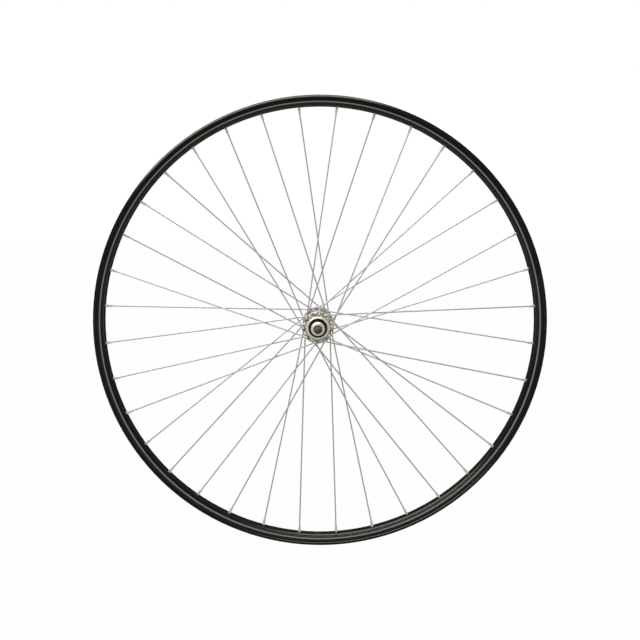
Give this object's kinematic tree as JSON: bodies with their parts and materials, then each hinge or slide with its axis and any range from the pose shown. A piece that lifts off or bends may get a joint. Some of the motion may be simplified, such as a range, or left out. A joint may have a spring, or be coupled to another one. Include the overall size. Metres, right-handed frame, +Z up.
{
  "type": "bicycle wheel",
  "caption": "Front bicycle wheel without a tyre: a shallow black box-section rim laced with crossed steel spokes to a silver low-flange hub that spins on a hollow axle.",
  "frame": {"origin": "centre of the wheel, on the spin axis midway between the locknuts", "axes": "+X forward, +Y along the spin axis to the wheel's left, +Z up; the valve hole points down"},
  "size_m": [0.635, 0.115, 0.6349],
  "materials": {
    "black_anodised_rim": "black anodised, semi-gloss",
    "polished_alloy": "polished",
    "dark_steel": "black oxide",
    "spoke_steel": "drawn stainless wire",
    "nickel_plate": "nickel plated",
    "bearing_steel": "ground",
    "bright_cap": "chromed sheet",
    "bright_steel": "bright zinc",
    "black_rubber": "matt",
    "dark_plastic": "moulded, satin"
  },
  "bodies": {
    "axle": {"axle": "dark_steel", "cone_left": "bearing_steel", "lock_washer_left": "bearing_steel", "locknut_left": "bright_steel", "seal_left": "black_rubber", "cone_right": "bearing_steel", "lock_washer_right": "bearing_steel", "locknut_right": "bright_steel", "seal_right": "black_rubber"},
    "wheel": {"rim": "black_anodised_rim", "hub_barrel": "polished_alloy", "spoke_01": "spoke_steel", "spoke_02": "spoke_steel", "spoke_03": "spoke_steel", "spoke_04": "spoke_steel", "spoke_05": "spoke_steel", "spoke_06": "spoke_steel", "spoke_07": "spoke_steel", "spoke_08": "spoke_steel", "spoke_09": "spoke_steel", "spoke_10": "spoke_steel", "spoke_11": "spoke_steel", "spoke_12": "spoke_steel", "spoke_13": "spoke_steel", "spoke_14": "spoke_steel", "spoke_15": "spoke_steel", "spoke_16": "spoke_steel", "spoke_17": "spoke_steel", "spoke_18": "spoke_steel", "spoke_19": "spoke_steel", "spoke_20": "spoke_steel", "spoke_21": "spoke_steel", "spoke_22": "spoke_steel", "spoke_23": "spoke_steel", "spoke_24": "spoke_steel", "spoke_25": "spoke_steel", "spoke_26": "spoke_steel", "spoke_27": "spoke_steel", "spoke_28": "spoke_steel", "spoke_29": "spoke_steel", "spoke_30": "spoke_steel", "spoke_31": "spoke_steel", "spoke_32": "spoke_steel", "spoke_33": "spoke_steel", "spoke_34": "spoke_steel", "spoke_35": "spoke_steel", "spoke_36": "spoke_steel", "hub_flange_left": "polished_alloy", "nipples_left": "nickel_plate", "bearing_cup_left": "bearing_steel", "dust_cap_left": "bright_cap", "hub_flange_right": "polished_alloy", "nipples_right": "nickel_plate", "bearing_cup_right": "bearing_steel", "dust_cap_right": "bright_cap"},
    "balls_left": {"ball_set_left": "bearing_steel"},
    "plug_left": {"axle_plug_left": "dark_plastic"},
    "balls_right": {"ball_set_right": "bearing_steel"},
    "plug_right": {"axle_plug_right": "dark_plastic"}
  },
  "joints": [
    {"name": "wheel_spin", "type": "hinge", "parent": "axle", "child": "wheel", "pos_m": [0, 0, 0], "axis": [0, 1, 0], "continuous": true},
    {"name": "balls_left_roll", "type": "hinge", "parent": "axle", "child": "balls_left", "pos_m": [0, 0, 0], "axis": [0, 1, 0], "continuous": true},
    {"name": "balls_right_roll", "type": "hinge", "parent": "axle", "child": "balls_right", "pos_m": [0, 0, 0], "axis": [0, 1, 0], "continuous": true},
    {"name": "plug_left_pull", "type": "slide", "parent": "axle", "child": "plug_left", "axis": [0, 1, 0], "range_m": [0, 0.016]},
    {"name": "plug_right_pull", "type": "slide", "parent": "axle", "child": "plug_right", "axis": [0, -1, 0], "range_m": [0, 0.016]}
  ],
  "couplings": [
    {"joint": "balls_left_roll", "follows": "wheel_spin", "ratio": 0.59354},
    {"joint": "balls_right_roll", "follows": "wheel_spin", "ratio": 0.59354}
  ]
}
